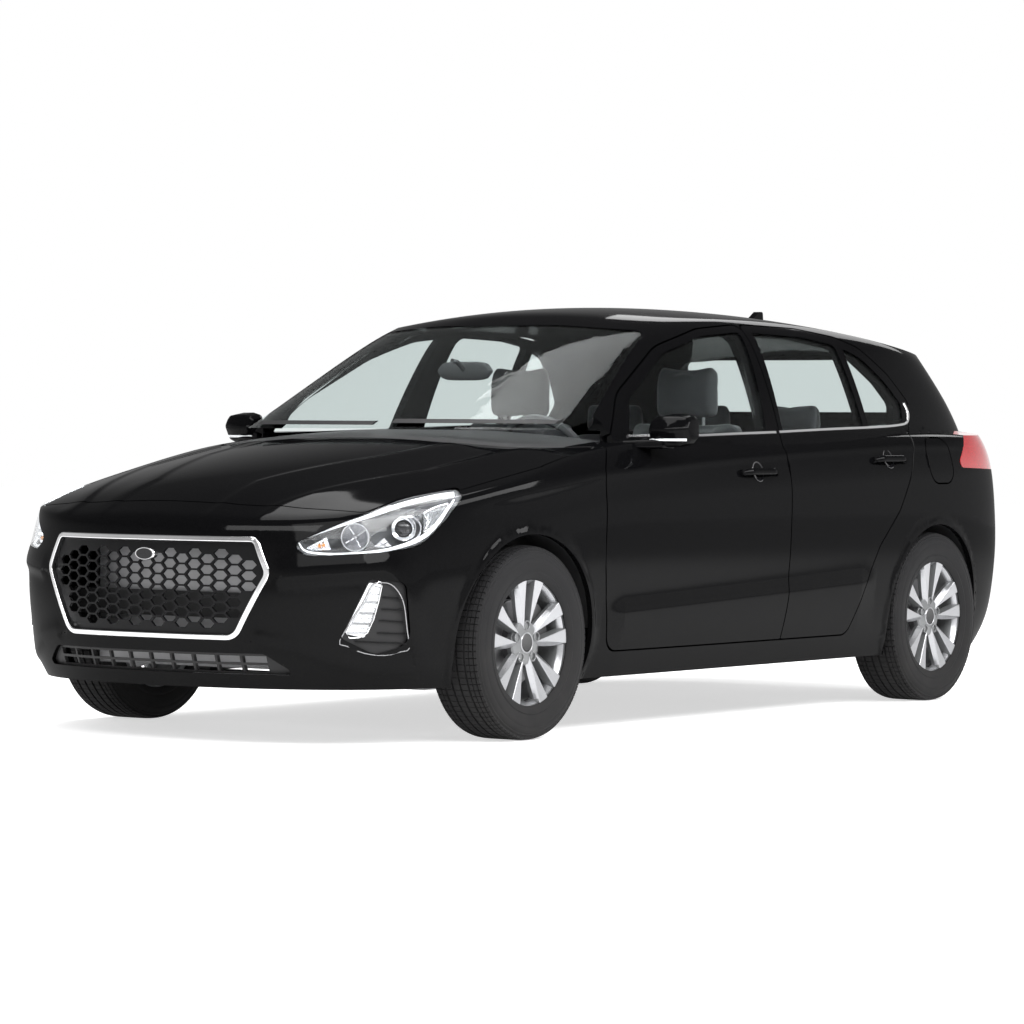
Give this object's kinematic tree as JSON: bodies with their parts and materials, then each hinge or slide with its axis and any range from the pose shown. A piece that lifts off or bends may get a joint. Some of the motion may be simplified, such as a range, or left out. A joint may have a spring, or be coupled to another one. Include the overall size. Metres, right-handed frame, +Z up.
{
  "type": "hatchback car",
  "caption": "Compact hatchback car with opening doors, bonnet, tailgate and fuel flap, steered front wheels and free-turning wheels.",
  "frame": {"origin": "on the ground under the middle of the length and width", "axes": "+X towards the front, +Y towards the car's left, +Z up"},
  "size_m": [4.3388, 1.992, 1.47],
  "materials": {
    "paint": "gloss",
    "glass": "gloss",
    "black_plastic": "matte",
    "gloss_black": "gloss",
    "chrome": "polished",
    "alloy": "machined",
    "tyre": "matte",
    "steel": "plain",
    "iron": "rough",
    "fabric": "woven",
    "interior": "grained",
    "clear_lens": "gloss",
    "red_lens": "gloss",
    "lamp_inside": "gloss"
  },
  "bodies": {
    "body": {"antenna_fin": "paint", "bulkhead": "black_plastic", "dashboard": "interior", "daytime_lamps": "clear_lens", "engine_block": "iron", "exhaust": "steel", "floor_pan": "paint", "fog_bezels": "black_plastic", "front_bumper": "paint", "front_fenders": "paint", "front_seats": "fabric", "front_suspension": "steel", "grille_frame": "chrome", "grille_mesh": "gloss_black", "headlamp_housings": "lamp_inside", "headlamp_lenses": "clear_lens", "lower_grille": "black_plastic", "radiator": "alloy", "rear_axle": "steel", "rear_bench": "fabric", "rear_bumper": "paint", "roof_panel": "paint", "side_frame_left": "paint", "side_frame_right": "paint", "tail_lamps": "red_lens", "wheel_housings": "black_plastic", "windscreen": "glass", "wipers": "black_plastic"},
    "bonnet": {"bonnet": "paint"},
    "tailgate": {"tailgate": "paint", "tailgate_glass": "glass", "tailgate_lamps": "red_lens"},
    "fuel_flap": {"fuel_flap": "paint"},
    "steering_wheel": {"steering_wheel": "interior"},
    "front_door_left": {"front_door_left": "paint", "front_glass_left": "glass", "mirror_left": "gloss_black"},
    "rear_door_left": {"rear_door_left": "paint", "rear_glass_left": "glass"},
    "knuckle_left": {"knuckle_left": "iron"},
    "wheel_front_left": {"wheel_front_left": "alloy", "tyre_front_left": "tyre"},
    "wheel_rear_left": {"wheel_rear_left": "alloy", "tyre_rear_left": "tyre"},
    "front_door_right": {"front_door_right": "paint", "front_glass_right": "glass", "mirror_right": "gloss_black"},
    "rear_door_right": {"rear_door_right": "paint", "rear_glass_right": "glass"},
    "knuckle_right": {"knuckle_right": "iron"},
    "wheel_front_right": {"wheel_front_right": "alloy", "tyre_front_right": "tyre"},
    "wheel_rear_right": {"wheel_rear_right": "alloy", "tyre_rear_right": "tyre"}
  },
  "joints": [
    {"name": "front_door_left_hinge", "type": "hinge", "parent": "body", "child": "front_door_left", "pos_m": [0.857, 0.8985, 0.62], "axis": [0, 0, -1], "range_deg": [0, 65]},
    {"name": "rear_door_left_hinge", "type": "hinge", "parent": "body", "child": "rear_door_left", "pos_m": [-0.287, 0.8985, 0.62], "axis": [0, 0, -1], "range_deg": [0, 65]},
    {"name": "front_door_right_hinge", "type": "hinge", "parent": "body", "child": "front_door_right", "pos_m": [0.857, -0.8985, 0.62], "axis": [0, 0, 1], "range_deg": [0, 65]},
    {"name": "rear_door_right_hinge", "type": "hinge", "parent": "body", "child": "rear_door_right", "pos_m": [-0.287, -0.8985, 0.62], "axis": [0, 0, 1], "range_deg": [0, 65]},
    {"name": "bonnet_hinge", "type": "hinge", "parent": "body", "child": "bonnet", "pos_m": [0.786, 0, 0.984], "axis": [0, -1, 0], "range_deg": [0, 55]},
    {"name": "tailgate_hinge", "type": "hinge", "parent": "body", "child": "tailgate", "pos_m": [-1.73171, 0, 1.3555], "axis": [0, 1, 0], "range_deg": [0, 75]},
    {"name": "fuel_flap_hinge", "type": "hinge", "parent": "body", "child": "fuel_flap", "pos_m": [-1.33455, 0.87324, 0.89992], "axis": [0, 0.2682, -0.9634], "range_deg": [0, 90]},
    {"name": "steer_left", "type": "hinge", "parent": "body", "child": "knuckle_left", "pos_m": [1.265, 0.758, 0.316], "axis": [0, 0, 1], "range_deg": [-35, 35]},
    {"name": "steer_right", "type": "hinge", "parent": "body", "child": "knuckle_right", "pos_m": [1.265, -0.758, 0.316], "axis": [0, 0, 1], "range_deg": [-35, 35]},
    {"name": "steering_wheel_turn", "type": "hinge", "parent": "body", "child": "steering_wheel", "pos_m": [0.455, 0.37, 0.878], "axis": [-0.9135, 0, 0.4067], "range_deg": [-510, 510]},
    {"name": "wheel_front_left_spin", "type": "hinge", "parent": "knuckle_left", "child": "wheel_front_left", "pos_m": [1.265, 0.783, 0.316], "axis": [0, 1, 0], "continuous": true},
    {"name": "wheel_rear_left_spin", "type": "hinge", "parent": "body", "child": "wheel_rear_left", "pos_m": [-1.385, 0.783, 0.316], "axis": [0, 1, 0], "continuous": true},
    {"name": "wheel_front_right_spin", "type": "hinge", "parent": "knuckle_right", "child": "wheel_front_right", "pos_m": [1.265, -0.783, 0.316], "axis": [0, 1, 0], "continuous": true},
    {"name": "wheel_rear_right_spin", "type": "hinge", "parent": "body", "child": "wheel_rear_right", "pos_m": [-1.385, -0.783, 0.316], "axis": [0, 1, 0], "continuous": true}
  ],
  "couplings": [
    {"joint": "steer_right", "follows": "steer_left", "ratio": 1},
    {"joint": "steering_wheel_turn", "follows": "steer_left", "ratio": 14.4}
  ]
}
